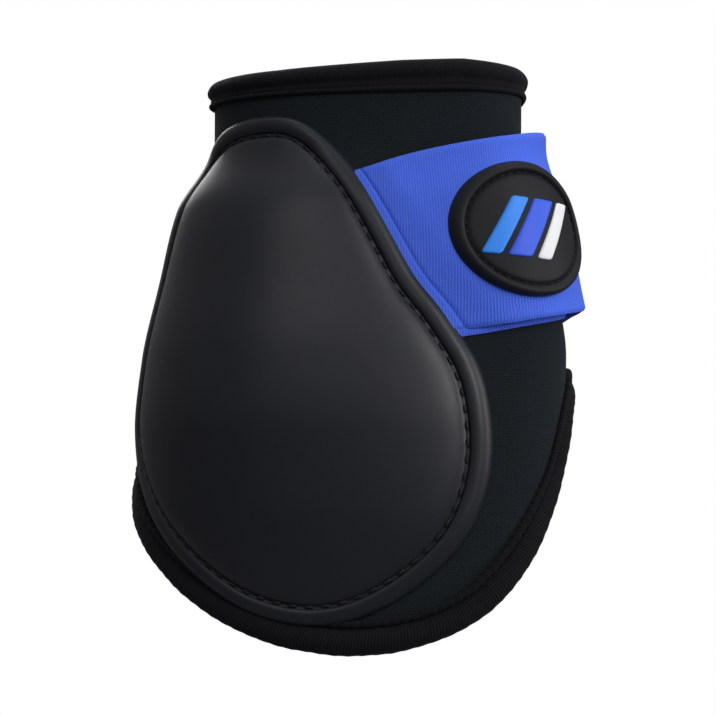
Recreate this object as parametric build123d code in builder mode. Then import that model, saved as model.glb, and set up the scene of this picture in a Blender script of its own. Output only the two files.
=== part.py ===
from build123d import *
import os
from math import sin, cos, radians, degrees, atan2, hypot

os.makedirs("parts", exist_ok=True)

# Fetlock-style tendon boot in millimetres, +Z up. -X is the back of the leg and +X the front.
# -Y is the inner side of the leg, which carries the strike shell; "near" is -Y, "far" is +Y.
# A neoprene sheet with a lining wraps the leg, open at the front, and an elastic strap
# closes it. The sheet is cut into three flexing panels: back, near and far.
#
# Station angles are in degrees about a vertical axis: 0 looks to -Y, 90 to +X.
# An "off" value is a distance out from the neoprene's outer face.

# --- overall sizes ---------------------------------------------------------------
top_z = 159.0              # top of the collar roll
roll_radius = 3.2          # soft binding rolls
bottom_roll_off = -0.8     # centre line of the bottom roll
bead_radius = 0.8          # seam bead beside each roll
front_radius = 2.4         # bindings on the two front edges
neoprene_t = 3.0
lining_t = 0.8
gap = 0.15                 # clearance between layers, and each side of a panel cut
seat = 0.35                # clearance under whatever is sewn to the neoprene
lining_seat = 0.5          # clearance between neoprene and lining
sheet_top = top_z - 2 * roll_radius - 0.4
bead_off = bead_radius + seat

# --- hinge lines of the flexing sheet ---------------------------------------------
flex_x, flex_z, flex_slope = 34.6, 64.0, -0.4236    # near flex line in the XZ view
far_x = -15.0                                       # far flex line, vertical
split_y = 14.0                                      # near and far zones meet here
centre_x, centre_y = -2.0, -2.0                     # axis of the station angles
near_end, far_end = 97.0, -233.0                    # front edges of the two wings, degrees

# --- section of the neoprene's outer face ------------------------------------------
# Each section is a smooth blend round three circles: one at the back, one at the near
# front corner and one at the far front corner.
# height, back reach, front reach, back radius, near radius, near y, far radius, far y
body_sections = [
    (0, 57, 43.5, 44, 16, -46, 20, 38),
    (20, 60.5, 46.5, 46.5, 16, -49, 21, 40),
    (40, 62.0, 49.0, 48.0, 16, -50, 22, 40),
    (60, 62.0, 51.5, 48.0, 16, -50, 22, 40),
    (80, 60.0, 52.0, 46.5, 15, -49, 21, 39),
    (100, 55.5, 49.0, 43.5, 14, -47, 20, 37),
    (120, 51.0, 45.0, 40.5, 13.5, -44, 19, 35),
    (136, 42.2, 40.5, 37.2, 14.0, -41.8, 18, 33.4),
    (160, 42.2, 40.5, 37.2, 14.0, -41.8, 18, 33.4),
]
section_heights, *section_columns = zip(*body_sections)
far_set_back = 3           # the far circle stops this far short of the front reach
blend_power = 16.0         # higher hugs the three circles more tightly

# Centre line of the bottom binding: station angle, height
bottom_path = [
    (-236, 71.5), (-205, 71.5), (-180, 71.5), (-160, 70.8), (-145, 67.5), (-128, 60.5),
    (-110, 52.5), (-91, 43.5), (-82, 36.0), (-73.9, 30.3), (-64.4, 24.2), (-55.5, 18.5),
    (-45.7, 13.2), (-32.8, 8.3), (-20.9, 5.6), (-4.0, 4.2), (8, 4.8), (16, 6.1), (24.2, 8.6),
    (33.0, 13.8), (37.2, 18.4), (41.1, 23.5), (44.3, 28.6), (47.0, 33.6), (49.7, 38.9),
    (52.2, 44.2), (54.2, 49.6), (55.8, 55.0), (57.6, 60.0), (60.5, 65.2), (66, 69.2),
    (74, 71.0), (86, 71.5), (100, 71.5),
]

# --- strike shell -------------------------------------------------------------------
shell_turn = -25.0         # station angle the shell faces
shell_t = 2.0              # flange thickness
shell_seat = 0.7           # inner face of the flange, above the neoprene
dome_h = 3.0               # extra height of the dome
view_depth = 120           # reach of a cutter extruded from the Z axis
# Outline seen square to the shell, clockwise from the top: across, height
shell_outline = [
    (-13.2, 143.9), (-0.9, 142.1), (7.4, 135.9), (16.8, 125.5), (22.0, 117.4), (27.6, 107.6),
    (33.0, 98.8), (38.2, 92.3), (42.2, 86.3), (46.0, 80.0), (48.9, 72.7), (50.6, 63.7),
    (51.0, 54.6), (50.0, 46.0), (47.7, 37.8), (43.7, 30.0), (37.6, 23.0), (31.6, 17.9),
    (24.1, 13.2), (16.5, 10.1), (9.0, 8.7), (-1.3, 9.5), (-12.1, 13.0), (-24.2, 20.2),
    (-34.7, 28.5), (-44.2, 38.5), (-50.8, 48.5), (-54.2, 60.0), (-53.8, 72.0), (-52.4, 84.0),
    (-50.0, 96.0), (-47.2, 108.0), (-44.3, 119.0), (-41.2, 127.0), (-36.8, 134.3),
    (-31.8, 139.2), (-23.0, 142.7),
]
pad_scale = 0.6            # impact pad outline: the shell's, shrunk about this point
pad_centre = (-3.0, 72.0)

stitch_inset = 5.2         # stitch line, distance inside the shell edge
stitch_pitch = 4.4
stitch_length = 3.0
stitch_width = 0.8
stitch_t = 0.6

# --- strap ----------------------------------------------------------------------------
strap_t = 1.5
underlay_t = 0.65
anchor_clear = 0.6         # between the strap anchor and the shell outline
peel_at, tip_at, tail_end = 104.0, 166.0, 200.0     # strap hinge, tip hinge, strap end
hinge_play = 0.15          # degrees kept clear beside a hinge
hook_depth = 1.5           # from the strap's inner face to the hook tape's inner face
hook_margin = 2            # hook tape inside the strap's long edges
# Station angle, height of the strap's upper edge
strap_top = [
    (-15, 126), (3, 129.5), (14, 132), (29, 135), (43, 137.5), (54, 139), (75, 140),
    (95, 139.8), (115, 138.6), (135, 136.5), (155, 133.6), (175, 130.8), (205, 127),
]
# Station angle, height of the strap's lower edge
strap_bottom = [
    (-15, 77), (10, 82), (27, 85.6), (36, 87.3), (46, 89.5), (58, 91.4), (75, 92.5),
    (95, 92.3), (115, 91.0), (135, 88.8), (155, 85.9), (175, 83.0), (205, 79.5),
]
# Station angle, off of the strap's inner face
strap_off = [
    (-15, 1.35), (15, 1.35), (30, 2.1), (41, 3.4), (50, 4.7), (60, 5.2), (115, 5.2),
    (130, 5.2), (145, 4.3), (158, 3.1), (205, 3.1),
]

# --- badge, an ellipse on the strap ------------------------------------------------------
badge_w, badge_h, badge_t = 37.6, 36.0, 2.0
badge_seat = 0.4           # clearance between strap and badge
badge_turn = 30.0          # station angle the badge faces
badge_at = (12.3, 112.6)   # centre seen square to the badge: across, height
badge_tilt = -6.0
badge_depth = 110          # reach of the badge cutters
badge_face = badge_seat + badge_t + 0.25            # underside of the raised marks
rim_t = 0.8
rim_margin, rim_width = 0.4, 2.0
stripe_t = 0.5
stripe_half_h, stripe_slant = 8, 3.5
# Slanted bars: name, start and end offset across from the badge centre
badge_stripes = [
    ("badge_stripe_light", -9.0, -4.5),
    ("badge_stripe_mid", -3.0, 3.0),
    ("badge_bar_white", 4.5, 8.5),
]

pieces = {}                # file name -> finished part


# --- curves and the body surface -----------------------------------------------------------
def curve(xs, ys, x):
    """Monotone cubic through a table, held constant past both ends."""
    if x <= xs[0]:
        return float(ys[0])
    if x >= xs[-1]:
        return float(ys[-1])
    spans = [xs[i + 1] - xs[i] for i in range(len(xs) - 1)]
    slopes = [(ys[i + 1] - ys[i]) / spans[i] for i in range(len(spans))]
    tangents = [0.0] * len(xs)
    tangents[0], tangents[-1] = slopes[0], slopes[-1]
    for i in range(1, len(spans)):
        if slopes[i - 1] * slopes[i] > 0:
            before = 2 * spans[i] + spans[i - 1]
            after = spans[i] + 2 * spans[i - 1]
            tangents[i] = (before + after) / (before / slopes[i - 1] + after / slopes[i])
    i = max(k for k in range(len(spans)) if xs[k] <= x)
    t = (x - xs[i]) / spans[i]
    return (ys[i] * (2 * t**3 - 3 * t**2 + 1)
            + spans[i] * tangents[i] * (t**3 - 2 * t**2 + t)
            + ys[i + 1] * (-2 * t**3 + 3 * t**2)
            + spans[i] * tangents[i + 1] * (t**3 - t**2))


def table(pairs, x):
    return curve(*zip(*pairs), x)


def bisect(low, high, is_short):
    """Value between low and high where is_short turns false."""
    for _ in range(40):
        middle = (low + high) / 2
        if is_short(middle):
            low = middle
        else:
            high = middle
    return (low + high) / 2


def steps(start, end, step):
    """Even values from start to end, about one step apart."""
    count = max(2, round((end - start) / step) + 1)
    return [start + (end - start) * k / (count - 1) for k in range(count)]


def facing(angle):
    """Level unit vector that looks out at an angle."""
    return Vector(sin(radians(angle)), -cos(radians(angle)), 0)


section_cache = {}


def circles(z):
    """The three circles of the section at z, each as centre x, centre y, radius."""
    key = round(z, 4)
    if key not in section_cache:
        back, front, back_r, near_r, near_y, far_r, far_y = [
            curve(section_heights, column, z) for column in section_columns]
        section_cache[key] = (
            (back_r - back, 0.0, back_r),
            (front - near_r, near_y + near_r, near_r),
            (front - far_r - far_set_back, far_y - far_r, far_r),
        )
    return section_cache[key]


def surface(normal, z, off):
    """Point of the surface whose outward normal points along this angle.

    The support distances of the three circles are blended by a power sum; the blend
    and its derivative by angle give the point.
    """
    sine, cosine = sin(radians(normal)), cos(radians(normal))
    supports = [max(x * sine - y * cosine + r, 1e-3) for x, y, r in circles(z)]
    rates = [x * cosine + y * sine for x, y, r in circles(z)]
    largest = max(supports)
    total = sum((s / largest) ** blend_power for s in supports)
    support = largest * total ** (1 / blend_power)
    rate = sum((s / largest) ** (blend_power - 1) * r for s, r in zip(supports, rates))
    rate *= total ** (1 / blend_power - 1)
    support += off
    return support * sine + rate * cosine, -support * cosine + rate * sine


def station_angle(x, y, nearby):
    """Station angle of a point, on the same turn as a nearby angle."""
    angle = degrees(atan2(x - centre_x, -(y - centre_y)))
    while angle - nearby > 180:
        angle -= 360
    while angle - nearby < -180:
        angle += 360
    return angle


def at(angle, z, off):
    """(x, y, normal angle) where the surface meets the station plane at this angle."""
    normal = bisect(angle - 60.0, angle + 60.0,
                    lambda trial: station_angle(*surface(trial, z, off), trial) < angle)
    x, y = surface(normal, z, off)
    return x, y, normal


def point_at(angle, z, off):
    return Vector(*at(angle, z, off)[:2], z)


def reach(angle, z, off):
    x, y, _ = at(angle, z, off)
    return hypot(x - centre_x, y - centre_y)


# --- shared builders -----------------------------------------------------------------------
def value(number_or_function, *args):
    return number_or_function(*args) if callable(number_or_function) else number_or_function


def wall(stations, low, high, inner, outer, rows=7):
    """Loft faces of a curved wall, one for each station plane.

    low and high are heights, or functions of the angle; inner and outer are offs, or
    functions of angle and height.
    """
    faces = []
    for angle in stations:
        direction = facing(angle)
        plane = Plane(origin=(centre_x, centre_y, 0), x_dir=direction,
                      z_dir=direction.cross(Vector(0, 0, 1)))
        z_low, z_high = value(low, angle), value(high, angle)
        heights = [z_low + (z_high - z_low) * k / (rows - 1) for k in range(rows)]
        outside = [(reach(angle, z, value(outer, angle, z)), z) for z in heights]
        inside = [(reach(angle, z, value(inner, angle, z)), z) for z in reversed(heights)]
        with BuildSketch(plane) as sketch:
            with BuildLine():
                Spline(*outside)
                Line(outside[-1], inside[0])
                Spline(*inside)
                Line(inside[-1], outside[0])
            make_face()
        faces.append(sketch.sketch.faces()[0])
    return faces


def wall_part(faces):
    with BuildPart() as part:
        loft(faces)
    return part.part


def outlined_wall(faces, outline):
    """Wall kept only inside a closed outline drawn in the shell's view."""
    with BuildPart() as part:
        loft(faces)
        with BuildSketch(shell_plane):
            with BuildLine():
                Spline(*outline, periodic=True)
            make_face()
        extrude(amount=view_depth, mode=Mode.INTERSECT)
    return part.part


def cord(runs, radius):
    """Round cord swept along each run of points."""
    with BuildPart() as part:
        for run in runs:
            with BuildLine() as path:
                Spline(*run)
            with BuildSketch(Plane(origin=path.line @ 0, z_dir=path.line % 0)):
                Circle(radius)
            sweep(path=path.line)
    return part.part


def view_plane(turn):
    """Upright plane through the Z axis, facing a station angle."""
    turn = radians(turn)
    return Plane(origin=(0, 0, 0), x_dir=(cos(turn), sin(turn), 0),
                 z_dir=(sin(turn), -cos(turn), 0))


shell_plane = view_plane(shell_turn)
badge_plane = view_plane(badge_turn)


# --- zones that cut the sheet into its three flexing panels -----------------------------------
zone_low, zone_high = -10, 175


def flex_line(z):
    return flex_x + flex_slope * (z - flex_z)


def flex_side(clearance, end_x):
    """XZ outline from beside the near flex line out to end_x."""
    return [(flex_line(zone_high) + clearance, zone_high), (end_x, zone_high),
            (end_x, zone_low), (flex_line(zone_low) + clearance, zone_low)]


with BuildPart() as zone_near:
    with BuildSketch(Plane.XZ.offset(-split_y)):
        with BuildLine():
            Polyline(*flex_side(gap, 95), close=True)
        make_face()
    extrude(amount=100 + split_y)

with BuildPart() as zone_far:
    with BuildSketch(Plane.XY.offset(zone_low)):
        with Locations((far_x + gap + 60, split_y + 46)):
            Rectangle(120, 92)
    extrude(amount=190)

# The second block overlaps the first by 2 mm in Y so that they join.
with BuildPart() as zone_back:
    with BuildSketch(Plane.XZ.offset(-split_y)):
        with BuildLine():
            Polyline(*flex_side(-gap, -95), close=True)
        make_face()
    extrude(amount=100 + split_y)
    with BuildSketch(Plane.XY.offset(zone_low)):
        with Locations((far_x - gap - 40, split_y - 2 + 45)):
            Rectangle(80, 90)
    extrude(amount=zone_high - zone_low)

zones = {"back": zone_back.part, "near": zone_near.part, "far": zone_far.part}


def cut_into_panels(name, ring):
    for zone_name, zone in zones.items():
        with BuildPart() as panel:
            add(ring)
            add(zone, mode=Mode.INTERSECT)
        pieces[f"{name}_{zone_name}"] = panel.part


# --- bottom binding path, and the sheet edge and seam bead set beside it ------------------------
def trace_bottom():
    """(point, outward normal, station angle) along the bottom roll's centre line."""
    traced = []
    angle = bottom_path[0][0]
    while angle <= bottom_path[-1][0]:
        z = table(bottom_path, angle)
        x, y, normal = at(angle, z, bottom_roll_off)
        traced.append((Vector(x, y, z), facing(normal), angle))
        angle += 1.0 if 30 < angle < 80 else 2.0    # finer where the path climbs steeply
    return traced


bottom_trace = trace_bottom()


def beside_bottom(distance, off):
    """(station angle, point) along a line set into the sheet from the bottom roll."""
    line = []
    for i, (point, normal, angle) in enumerate(bottom_trace):
        before = bottom_trace[max(i - 1, 0)][0]
        after = bottom_trace[min(i + 1, len(bottom_trace) - 1)][0]
        inward = normal.cross((after - before).normalized()).normalized()
        leans_forward = inward.dot(Vector(-1, 0, 0)) < 0 and angle > 0
        if inward.Z < 0 or (abs(inward.Z) < 0.2 and leans_forward):
            inward = inward * -1
        moved = point + inward * distance
        moved_angle = station_angle(moved.X, moved.Y, angle)
        line.append((moved_angle, point_at(moved_angle, moved.Z, off)))
    return line


# Lower edge of the sheet: station angle, height
sheet_edge = []
for edge_angle, edge_point in beside_bottom(roll_radius + 0.5, 0.0):
    if not sheet_edge or edge_angle > sheet_edge[-1][0] + 0.4:
        sheet_edge.append((edge_angle, edge_point.Z))


def sheet_low(angle):
    for (angle0, z0), (angle1, z1) in zip(sheet_edge, sheet_edge[1:]):
        if angle0 <= angle <= angle1:
            return z0 + (z1 - z0) * (angle - angle0) / (angle1 - angle0)
    return sheet_edge[0][1] if angle < sheet_edge[0][0] else sheet_edge[-1][1]


# --- the shell's view --------------------------------------------------------------------------
def across(x, y):
    """Distance across the shell's view."""
    return x * cos(radians(shell_turn)) + y * sin(radians(shell_turn))


def inside_by(u, z):
    """Distance inside the shell outline, negative outside."""
    nearest, inside = 1e9, False
    for (u0, z0), (u1, z1) in zip(shell_outline, shell_outline[1:] + shell_outline[:1]):
        edge_u, edge_z = u1 - u0, z1 - z0
        along = ((u - u0) * edge_u + (z - z0) * edge_z) / (edge_u**2 + edge_z**2)
        along = max(0.0, min(1.0, along))
        nearest = min(nearest, hypot(u - u0 - along * edge_u, z - z0 - along * edge_z))
        if (z0 > z) != (z1 > z) and u < u0 + (z - z0) * edge_u / edge_z:
            inside = not inside
    return nearest if inside else -nearest


def outline_inset(distance):
    """Shell outline moved inward by a distance."""
    points, count = [], len(shell_outline)
    for i, (u, z) in enumerate(shell_outline):
        (u0, z0), (u1, z1) = shell_outline[i - 1], shell_outline[(i + 1) % count]
        chord_u, chord_z = u1 - u0, z1 - z0
        chord = hypot(chord_u, chord_z)
        points.append((u + chord_z / chord * distance, z - chord_u / chord * distance))
    return points


# --- neoprene and lining ---------------------------------------------------------------------------
# Stations are closer together where the lower edge climbs at the front.
sheet_stations = (steps(far_end, -91, 10) + steps(-80, 20, 10)
                  + [27, 32, 36, 39.5, 42.5, 45, 47.5, 50, 52.5, 55, 58, 62, 68, 76, 86, near_end])
lining_off = -neoprene_t - lining_seat


def sheet(inner, outer):
    return wall_part(wall(sheet_stations, sheet_low, sheet_top, inner, outer, rows=18))


cut_into_panels("neoprene", sheet(-neoprene_t, 0.0))
cut_into_panels("lining", sheet(lining_off - lining_t, lining_off))


# --- collar binding: soft roll over the top edge, with its seam bead below ---------------------------
def level_ring(z, off):
    return [point_at(angle, z, off) for angle in steps(far_end, near_end, 11)]


cut_into_panels("top_roll", cord([level_ring(top_z - roll_radius, -neoprene_t / 2)],
                                 roll_radius))
cut_into_panels("top_bead", cord([level_ring(top_z - 2 * roll_radius - 2.2, bead_off)],
                                 bead_radius))


# --- bottom binding: soft roll round the deep lobe, with its seam bead --------------------------------
def runs_of(line, spacing, keep=lambda angle, point: True):
    """Unbroken runs of the line's points that pass the test, thinned to the spacing."""
    runs, run = [], []
    for angle, point in line:
        if far_end <= angle <= near_end and keep(angle, point):
            if not run or (point - run[-1]).length > spacing:
                run.append(point)
        elif run:
            runs.append(run)
            run = []
    return [r for r in runs + [run] if len(r) > 2]


bottom_line = [(angle, point) for point, normal, angle in bottom_trace]
cut_into_panels("bottom_roll", cord(runs_of(bottom_line, 6.0), roll_radius))


# The bead stops short of the flex lines, and of the shell on the back panel.
def bead_on_back(angle, point):
    limit = flex_line(point.Z) - 1.2 if point.Y < 0 else far_x - 0.8
    return point.X < limit and (
        angle < -112 or inside_by(across(point.X, point.Y), point.Z) < -1.8)


def bead_on_near(angle, point):
    return point.X > flex_line(point.Z) + 1.2 and point.Y < split_y - 1


def bead_on_far(angle, point):
    return point.X > far_x + 0.8 and point.Y > split_y + 1


bead_line = beside_bottom(roll_radius + 0.9, bead_off)
for zone_name, on_panel in (("back", bead_on_back), ("near", bead_on_near),
                            ("far", bead_on_far)):
    pieces[f"bottom_bead_{zone_name}"] = cord(runs_of(bead_line, 5.0, on_panel), bead_radius)

# --- front edge bindings --------------------------------------------------------------------------------
front_heights = [77.5, 90, 105, 120, 135, top_z - 2 * roll_radius - 1.0]
for zone_name, front_angle in (("near", near_end + 4.2), ("far", far_end - 4.6)):
    front_line = [point_at(front_angle, z, -neoprene_t / 2) for z in front_heights]
    pieces[f"front_binding_{zone_name}"] = cord([front_line], front_radius)


# --- strike shell and impact pad --------------------------------------------------------------------------
def rise(angle, z, start, end):
    """Smooth 0 to 1 between two distances inside the shell outline."""
    x, y, _ = at(angle, z, 1.5)
    k = max(0.0, min(1.0, (inside_by(across(x, y), z) - start) / (end - start)))
    return k * k * (3 - 2 * k)


def shell_inner(angle, z):
    return shell_seat + 1.55 * rise(angle, z, 10.0, 17.0)


def shell_outer(angle, z):
    return shell_seat + shell_t + dome_h * rise(angle, z, 7.0, 26.0)


pieces["outer_shell"] = outlined_wall(
    wall(steps(-112, 48, 6.4), 3.0, 148.0, shell_inner, shell_outer, rows=17),
    shell_outline)

pad_outline = [(pad_centre[0] + pad_scale * (u - pad_centre[0]),
                pad_centre[1] + pad_scale * (z - pad_centre[1])) for u, z in shell_outline]
pieces["impact_pad"] = outlined_wall(
    wall(steps(-85, 36, 5.8), 20.0, 134.0, seat + 0.25, seat + 1.35, rows=16),
    pad_outline)


# --- stitches that hold the shell: the visible stitches of one thread run -----------------------------------
def from_shell_view(u, z, off):
    """Point of the surface seen at (u, z) in the shell's view, and its normal."""
    normal = bisect(-120.0, 70.0, lambda trial: across(*surface(trial, z, off)) < u)
    return Vector(*surface(normal, z, off), z), facing(normal)


def stitch_line():
    """Closely spaced (point, normal) pairs round the stitch line."""
    inset = outline_inset(stitch_inset)
    line = []
    for (u0, z0), (u1, z1) in zip(inset, inset[1:] + inset[:1]):
        for k in range(12):
            t = k / 12
            line.append(from_shell_view(u0 + (u1 - u0) * t, z0 + (z1 - z0) * t,
                                        shell_seat + shell_t + 1.0))
    return line


def build_stitching():
    line = stitch_line()
    lengths = [0.0]
    for i in range(1, len(line) + 1):
        lengths.append(lengths[-1] + (line[i % len(line)][0] - line[i - 1][0]).length)
    count = round(lengths[-1] / stitch_pitch)
    with BuildPart() as stitching:
        for k in range(count):
            travel = lengths[-1] * (k + 0.5) / count
            i = max(j for j in range(len(line)) if lengths[j] <= travel)
            point, normal = line[i]
            along = (line[(i + 1) % len(line)][0] - point).normalized()
            centre = point + along * (travel - lengths[i])
            normal = (normal - along * normal.dot(along)).normalized()
            with BuildSketch(Plane(origin=centre - normal * (stitch_t / 2), x_dir=along,
                                   z_dir=normal)):
                SlotOverall(stitch_length, stitch_width)
            extrude(amount=stitch_t)
    return stitching.part


pieces["shell_stitching"] = build_stitching()


# --- elastic strap ----------------------------------------------------------------------------------------------
def strap_high(angle):
    return table(strap_top, angle)


def strap_low(angle):
    return table(strap_bottom, angle)


def strap_inner(angle, z):
    return table(strap_off, angle)


def strap_outer(angle, z):
    return table(strap_off, angle) + strap_t


def strap_wall(stations, inner=strap_inner):
    return wall(stations, strap_low, strap_high, inner, strap_outer)


# The anchor is cut away where the shell covers it.
with BuildPart() as strap_anchor:
    loft(strap_wall(steps(-15, 33, 8), inner=seat + 0.15))
    add(zone_back.part, mode=Mode.INTERSECT)
    with BuildSketch(shell_plane):
        with BuildLine():
            Spline(*outline_inset(-anchor_clear), periodic=True)
        make_face()
    extrude(amount=view_depth, mode=Mode.SUBTRACT)
pieces["strap_anchor"] = strap_anchor.part

underlay_off = seat + 0.2
with BuildPart() as strap_underlay:
    loft(wall(steps(-12, 86, 8), lambda a: strap_low(a) - 1.8, lambda a: strap_high(a) - 2.0,
              underlay_off, underlay_off + underlay_t))
    add(zone_near.part, mode=Mode.INTERSECT)
pieces["strap_underlay"] = strap_underlay.part

with BuildPart() as strap_front:
    loft(strap_wall(steps(-12, peel_at, 8)))
    add(zone_near.part, mode=Mode.INTERSECT)
pieces["strap_front"] = strap_front.part

pieces["strap_tail"] = wall_part(strap_wall(
    steps(peel_at + 2 * hinge_play, tip_at - hinge_play, 7)))
pieces["strap_tip"] = wall_part(strap_wall(steps(tip_at + hinge_play, tail_end, 7)))


def hook_part(start, end):
    """Tape under the strap, between two station angles."""
    return wall_part(wall(
        steps(start, end, 7),
        lambda a: strap_low(a) + hook_margin, lambda a: strap_high(a) - hook_margin,
        lambda a, z: strap_inner(a, z) - hook_depth,
        lambda a, z: strap_inner(a, z) - 2 * gap))


pieces["hook_tape"] = hook_part(139, tip_at - 2 * hinge_play)
pieces["hook_tape_tip"] = hook_part(tip_at + 2 * hinge_play, tail_end - 3)

# Loop panel on the far side, under the hook tape
pieces["loop_panel"] = wall_part(wall(
    steps(far_end + 360 + 4, 196, 8), 80.5, 140.5, seat + 0.25, seat + 0.95, rows=9))


# --- badge on the strap -------------------------------------------------------------------------------------------
def badge_wall(lower, upper):
    """Wall that follows the strap, between two heights above its outer face."""
    return wall(steps(14, 72, 6), 88.0, 138.0,
                lambda a, z: strap_outer(a, z) + lower, lambda a, z: strap_outer(a, z) + upper)


badge_location = Location((*badge_at, 0), (0, 0, badge_tilt))

with BuildPart() as badge_base:
    loft(badge_wall(badge_seat, badge_seat + badge_t))
    with BuildSketch(badge_plane):
        with Locations(badge_location):
            Ellipse(badge_w / 2, badge_h / 2)
    extrude(amount=badge_depth, mode=Mode.INTERSECT)
pieces["badge_base"] = badge_base.part

rim_inset = rim_margin + rim_width
with BuildPart() as badge_rim:
    loft(badge_wall(badge_face, badge_face + rim_t))
    with BuildSketch(badge_plane):
        with Locations(badge_location):
            Ellipse(badge_w / 2 - rim_margin, badge_h / 2 - rim_margin)
            Ellipse(badge_w / 2 - rim_inset, badge_h / 2 - rim_inset, mode=Mode.SUBTRACT)
    extrude(amount=badge_depth, mode=Mode.INTERSECT)
pieces["badge_rim"] = badge_rim.part


def stripe_corners(start, end):
    """Corners of a slanted bar between two offsets across from the badge centre."""
    cosine, sine = cos(radians(badge_tilt)), sin(radians(badge_tilt))
    corners = [(start - stripe_slant, -stripe_half_h), (end - stripe_slant, -stripe_half_h),
               (end + stripe_slant, stripe_half_h), (start + stripe_slant, stripe_half_h)]
    return [(badge_at[0] + u * cosine - v * sine, badge_at[1] + u * sine + v * cosine)
            for u, v in corners]


for stripe_name, stripe_start, stripe_end in badge_stripes:
    with BuildPart() as badge_stripe:
        loft(badge_wall(badge_face, badge_face + stripe_t))
        with BuildSketch(badge_plane):
            with BuildLine():
                Polyline(*stripe_corners(stripe_start, stripe_end), close=True)
            make_face()
        extrude(amount=badge_depth, mode=Mode.INTERSECT)
    pieces[stripe_name] = badge_stripe.part

# --- write every piece ----------------------------------------------------------------------------------------------
for label, part in pieces.items():
    part.label = label
    export_step(part, f"parts/{label}.step")
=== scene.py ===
"""An open-fronted leg boot: soft body, bound edges, moulded shell, wide elastic strap, oval badge.

The boot stands along Z. Its back faces -X, its open front +X, its near side -Y and its far
side +Y. Pieces are drawn in millimetres and stored in metres; the stage is in metres.

A place on the body is (station, z, off). The station is an angle in degrees round the upright
axis through CENTRE, from -Y towards +X, and off is the distance outwards from the body surface.
"""
from functools import cached_property
from math import cos, pi, radians, sin

import bpy
import numpy as np
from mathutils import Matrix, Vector


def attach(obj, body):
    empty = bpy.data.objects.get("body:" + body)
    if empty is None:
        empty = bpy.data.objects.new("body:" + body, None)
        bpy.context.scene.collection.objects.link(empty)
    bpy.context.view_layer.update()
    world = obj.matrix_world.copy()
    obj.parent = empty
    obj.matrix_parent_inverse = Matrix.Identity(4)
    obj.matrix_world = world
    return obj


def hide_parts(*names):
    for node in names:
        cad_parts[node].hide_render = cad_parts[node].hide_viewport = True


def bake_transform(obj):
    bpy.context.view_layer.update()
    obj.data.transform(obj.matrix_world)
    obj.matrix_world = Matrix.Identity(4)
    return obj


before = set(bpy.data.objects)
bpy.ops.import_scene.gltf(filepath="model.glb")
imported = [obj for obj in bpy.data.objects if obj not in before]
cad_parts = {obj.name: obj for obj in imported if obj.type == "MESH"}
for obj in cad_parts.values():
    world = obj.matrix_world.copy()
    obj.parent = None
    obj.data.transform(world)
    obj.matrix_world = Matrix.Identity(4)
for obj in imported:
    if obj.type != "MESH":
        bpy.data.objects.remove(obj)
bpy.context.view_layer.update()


# ---------------------------------------------------------------------------------------------
# Driving sizes, in millimetres and degrees
# ---------------------------------------------------------------------------------------------
MM = 0.001                              # metres in a millimetre
CENTRE = (-2.0, -2.0)                   # x, y of the station axis
TOP_Z = 159.0                           # top edge, before the collar settles
NEAR_END, FAR_END = 97.0, -233.0        # stations of the sheets' two front edges
SPLIT = -130.0                          # station where the near and far halves meet
NEOPRENE, LINING, GAP = 3.0, 0.8, 0.15  # layer thicknesses and the space between layers
HEM_OFF = -0.8                          # the bottom edge's path, off the body
BEAD_R = 0.8

# Body levels: z, then the reach towards -X, the reach towards +X, the back radius, the
# near front corner's radius, the near side's y, the far front corner's radius, the far side's y
LEVELS = [
    (0, 57, 43.5, 44, 16, -46, 20, 38),
    (20, 60.5, 46.5, 46.5, 16, -49, 21, 40),
    (40, 62.0, 49, 48, 16, -50, 22, 40),
    (60, 62.0, 51.5, 48, 16, -50, 22, 40),
    (80, 60.0, 52, 46.5, 15, -49, 21, 39),
    (100, 55.5, 49, 43.5, 14, -47, 20, 37),
    (120, 51.0, 45, 40.5, 13.5, -44, 19, 35),
    (136, 42.2, 40.5, 37.2, 14, -41.8, 18, 33.4),
    (160, 42.2, 40.5, 37.2, 14, -41.8, 18, 33.4)]
FAR_CORNER_INSET = 3      # the far front corner lies this much less towards +X
SOFT_POWER = 16           # sharpness of the soft maximum that joins the circles

# Collar drop near the top edge: x, drop
COLLAR_DROP = ([-45, -40.5, -24, -7.7, 8.8, 25, 37.5, 43],
               [3.1, 3.0, 2.7, 1.9, 1.1, 0.8, 2.0, 2.5])

# Bottom edge: station, z
BOTTOM_PATH = [
    (-236, 71.5), (-205, 71.5), (-180, 71.5), (-160, 70.8), (-145, 67.5), (-128, 60.5),
    (-110, 52.5), (-91, 43.5), (-82, 36.0), (-73.9, 30.3), (-64.4, 24.2), (-55.5, 18.5),
    (-45.7, 13.2), (-32.8, 8.3), (-20.9, 5.6), (-4.0, 4.2), (8, 4.8), (16, 6.1), (24.2, 8.6),
    (33.0, 13.8), (37.2, 18.4), (41.1, 23.5), (44.3, 28.6), (47.0, 33.6), (49.7, 38.9),
    (52.2, 44.2), (54.2, 49.6), (55.8, 55.0), (57.6, 60.0), (60.5, 65.2), (66, 69.2),
    (74, 71.0), (86, 71.5), (100, 71.5)]


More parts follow.
